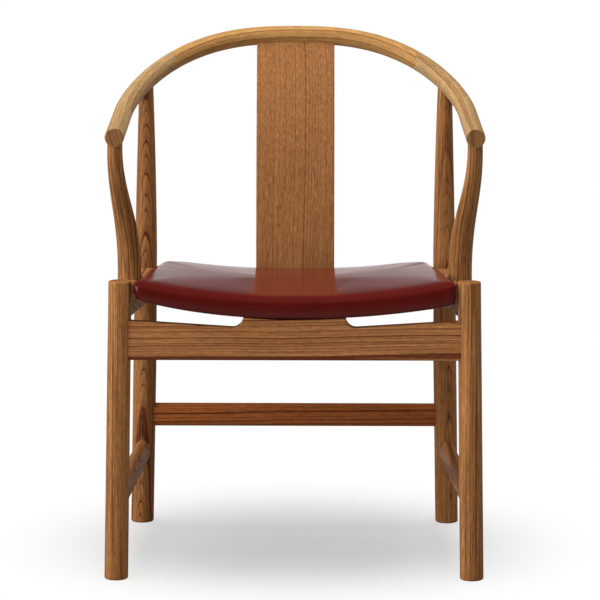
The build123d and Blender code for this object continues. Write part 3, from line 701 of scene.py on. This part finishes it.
def swell(piece, still):
    """Blows the slack leather up over its foam as cloth, then keeps the shape."""
    held = piece.vertex_groups.new(name="held")
    held.add(still, 1.0, "REPLACE")
    cloth = piece.modifiers.new("swell", "CLOTH")
    leather = {
        "quality": 6,
        "mass": 0.4,
        "tension_stiffness": 60,
        "compression_stiffness": 60,
        "shear_stiffness": 30,
        "bending_stiffness": 4,
        "use_pressure": True,
        "uniform_pressure_force": 4,
        "vertex_group_mass": "held",
    }
    for name, value in leather.items():
        setattr(cloth.settings, name, value)
    cloth.settings.effector_weights.gravity = 0
    cloth.point_cache.frame_start, cloth.point_cache.frame_end = 1, swell_frames
    scene = bpy.context.scene
    for frame_number in range(1, swell_frames + 1):
        scene.frame_set(frame_number)
    blown = piece.evaluated_get(bpy.context.evaluated_depsgraph_get()).data
    moves = [moved.co - point.co for point, moved in zip(piece.data.vertices, blown.vertices)]
    largest = max(move.length for move in moves)
    for point, move in zip(piece.data.vertices, moves):
        point.co = point.co + move * min(swell_limit / largest, 1.0)
    piece.modifiers.remove(cloth)
    piece.vertex_groups.remove(held)
    scene.frame_set(1)


def glossy_leather():
    """Smooth aniline-dyed hide: deep colour, fine pebble grain and a waxed gloss."""
    material = bpy.data.materials.new("burgundy_leather")
    material.use_nodes = True
    tree = material.node_tree
    shader = tree.nodes["Principled BSDF"]
    shader.inputs["Specular IOR Level"].default_value = 0.25
    place = put(tree, "TexCoord").outputs["Object"]
    blot_scale, fine_scale, pebble_scale = 22.0, 420.0, 900.0
    waxed, waxed_swing, fine_height = 0.14, 0.08, 0.6
    blots = noise(tree, stretch(tree, place, blot_scale, blot_scale, blot_scale), 4.0)
    fine = noise(tree, stretch(tree, place, fine_scale, fine_scale, fine_scale), 2.0)
    cells = put(tree, "TexVoronoi", {"Vector": place, "Scale": pebble_scale}, feature="SMOOTH_F1")
    dye = blend(tree, blots, paint(79, 14, 9), paint(92, 20, 15))
    tree.links.new(dye, shader.inputs["Base Color"])
    shader.inputs["Sheen Weight"].default_value = 0.14
    shader.inputs["Sheen Roughness"].default_value = 0.4
    shader.inputs["Sheen Tint"].default_value = paint(216, 90, 78)
    tree.links.new(plus(tree, waxed, fine, waxed_swing), shader.inputs["Roughness"])
    height = plus(tree, cells.outputs["Distance"], fine, fine_height)
    bump = put(tree, "Bump", {"Strength": 0.08, "Distance": 0.0003, "Height": height})
    tree.links.new(bump.outputs[0], shader.inputs["Normal"])
    return material


pad_mesh, still_points = seat_mesh("seat_pad")
seat = show("seat_pad", pad_mesh, glossy_leather())
swell(seat, still_points)
seat.modifiers.new("smooth", "SUBSURF").levels = 1
seat.modifiers["smooth"].render_levels = 1
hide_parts("seat_cover", "seat_foam")

# The shell's thin veneers show as close, faint lines.
finish_node("seat_shell", oiled_wood(
    "shell_plywood_wood", paint(208, 172, 128), paint(168, 128, 84), (0.0, -3.0, 0.0),
    along="X", ring_width=0.0015, rings=0.5))

# Black lining cloth under the seat, stretched flat and stapled through its turned-in edges.
lining_margin = 0.054
lining_thickness = 0.001
lining_below = 0.0003


def lining_mesh():
    """Thin curved sheet that follows the seat's underside."""
    across, back = 40, 32
    points, faces = [], []
    front, rear = seat_front_y + lining_margin, seat_rear_y - lining_margin
    for layer in (0, 1):
        for j in range(back + 1):
            y = front + (rear - front) * j / back
            for i in range(across + 1):
                x = (seat_half_width(y) - lining_margin) * (2 * i / across - 1)
                z = seat_height(x, y, False) - lining_below + layer * lining_thickness
                points.append((x, y, z))
    row = across + 1
    layer = row * (back + 1)
    for j in range(back):
        for i in range(across):
            a = j * row + i
            quad = (a, a + 1, a + 1 + row, a + row)
            faces.append(quad[::-1])
            faces.append(tuple(k + layer for k in quad))
    edge = list(range(across)) + [across + j * row for j in range(back)]
    edge += [back * row + across - i for i in range(across)]
    edge += [(back - j) * row for j in range(back)]
    for k, a in enumerate(edge):
        b = edge[(k + 1) % len(edge)]
        faces.append((a, b, b + layer, a + layer))
    mesh = bpy.data.meshes.new("lining")
    mesh.from_pydata(points, [], faces)
    mesh.shade_smooth()
    mesh.set_sharp_from_angle(angle=crease)
    return mesh


def lining_cloth():
    """Thin matt black woven cloth."""
    material = bpy.data.materials.new("lining_cloth")
    material.use_nodes = True
    tree = material.node_tree
    shader = tree.nodes["Principled BSDF"]
    place = put(tree, "TexCoord").outputs["Object"]
    thread_scale = 260.0
    threads = {"Vector": place, "Scale": thread_scale}
    warp, weft = (
        put(tree, "TexWave", threads, bands_direction=way).outputs["Fac"] for way in "XY"
    )
    weave = calc(tree, "MULTIPLY", warp, weft)
    black = blend(tree, weave, paint(22, 22, 23), paint(48, 47, 47))
    tree.links.new(black, shader.inputs["Base Color"])
    tree.links.new(plus(tree, 0.8, weave, 0.1), shader.inputs["Roughness"])
    bump = put(tree, "Bump", {"Strength": 0.3, "Distance": 0.0003, "Height": weave})
    tree.links.new(bump.outputs[0], shader.inputs["Normal"])
    return material


lining = show("lining", lining_mesh(), lining_cloth())
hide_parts("seat_lining")

# ---------------------------------------------------------------- studio
# A pale floor and a white room, with a large soft light overhead and a larger one from the
# upper left. What is seen directly and what is mirrored have brightnesses of their own.
floor_half = 9
floor_seen, floor_lit = (0.95, 0.95, 0.95, 1.0), (0.50, 0.50, 0.50, 1.0)
shadow_white, shadow_near, shadow_far = 0.44, 0.18, 0.52
mirrored_white_from, mirrored_white_to = 0.2, 2.0
room_light, room_glow = 0.38, 0.03
wall_height, wall_loss, wall_from, wall_to = 0.13, 0.95, -0.1, 0.6

floor_mesh = bpy.data.meshes.new("floor")
corners = [(x * floor_half, y * floor_half, 0) for x, y in ((-1, -1), (1, -1), (1, 1), (-1, 1))]
floor_mesh.from_pydata(corners, [], [(0, 1, 2, 3)])
floor = bpy.data.objects.new("floor", floor_mesh)
bpy.context.scene.collection.objects.link(floor)
floor_paint = bpy.data.materials.new("floor_paint")
floor_paint.use_nodes = True
tree = floor_paint.node_tree
shader = tree.nodes["Principled BSDF"]
shader.inputs["Roughness"].default_value = 0.9
shader.inputs["Specular IOR Level"].default_value = 0.0
rays = put(tree, "LightPath").outputs
pale = blend(tree, rays["Is Camera Ray"], floor_lit, floor_seen)
tree.links.new(pale, shader.inputs["Base Color"])
white = put(tree, "Emission", {"Color": (1.0, 1.0, 1.0, 1.0), "Strength": 1.0})
place = put(tree, "TexCoord").outputs["Object"]
behind = step(tree, parts(tree, place)[1], mirrored_white_from, mirrored_white_to)
away = step(tree, length(tree, place), shadow_near, shadow_far)
near_white = plus(tree, shadow_white, away, 1 - shadow_white)
share = calc(tree, "MULTIPLY", rays["Is Camera Ray"], near_white)
share = calc(tree, "MAXIMUM", share, calc(tree, "MULTIPLY", rays["Is Glossy Ray"], behind))
mix = put(tree, "MixShader", {0: share, 1: shader.outputs[0], 2: white.outputs[0]})
tree.links.new(mix.outputs[0], tree.nodes["Material Output"].inputs["Surface"])
floor_mesh.materials.append(floor_paint)

world = bpy.data.worlds.new("room")
world.use_nodes = True
bpy.context.scene.world = world
tree = world.node_tree
tree.nodes["Background"].inputs["Color"].default_value = (1.0, 1.0, 1.0, 1.0)
rays = put(tree, "LightPath").outputs
way = parts(tree, put(tree, "TexCoord").outputs["Generated"])
backdrop = plus(tree, 1.0, step(tree, way[2], 0.0, wall_height), -wall_loss)
backdrop = calc(tree, "MULTIPLY", backdrop, step(tree, way[1], wall_from, wall_to))
mirrored = calc(tree, "MAXIMUM", rays["Is Glossy Ray"], rays["Is Transmission Ray"])
glow = calc(tree, "ADD", backdrop, room_glow)
strength = put(tree, "Mix", {0: mirrored, 2: room_light, 3: glow}).outputs[0]
strength = calc(tree, "MAXIMUM", rays["Is Camera Ray"], strength)
tree.links.new(strength, tree.nodes["Background"].inputs["Strength"])


def soft_light(name, place, aim, size, power):
    """Square soft light that faces a point."""
    lamp = bpy.data.lights.new(name, "AREA")
    lamp.size = size
    lamp.energy = power
    lamp_object = bpy.data.objects.new(name, lamp)
    lamp_object.location = place
    toward = Vector(aim) - Vector(place)
    lamp_object.rotation_euler = toward.to_track_quat("-Z", "Y").to_euler()
    bpy.context.scene.collection.objects.link(lamp_object)
    return lamp_object


overhead = soft_light("overhead", (-0.1, -0.2, 2.9), (0.0, 0.0, 0.4), 2.6, 60.0)
overhead.visible_glossy = False
key = soft_light("left_key", (-4.8, -2.3, 2.2), (0.0, 0.0, 0.5), 4.0, 260.0)
key_leaves_out = bpy.data.collections.new("key_leaves_out")
key_leaves_out.objects.link(floor)
key_leaves_out.collection_objects[0].light_linking.link_state = "EXCLUDE"
key.light_linking.receiver_collection = key_leaves_out

camera_sensor, camera_lens = 36.0, 191.04
camera_place = (0.0081, -5.0, 1.149)
camera_dip, camera_roll = 8.61, 0.15
camera_data = bpy.data.cameras.new("camera")
camera_data.sensor_width = camera_sensor
camera_data.lens = camera_lens
camera = bpy.data.objects.new("camera", camera_data)
camera.location = camera_place
tilt = Matrix.Rotation(radians(90 - camera_dip), 3, "X")
roll = Matrix.Rotation(radians(camera_roll), 3, "Z")
camera.rotation_euler = (tilt @ roll).to_euler()
bpy.context.scene.collection.objects.link(camera)
bpy.context.scene.camera = camera
bpy.context.scene.view_settings.view_transform = "Standard"
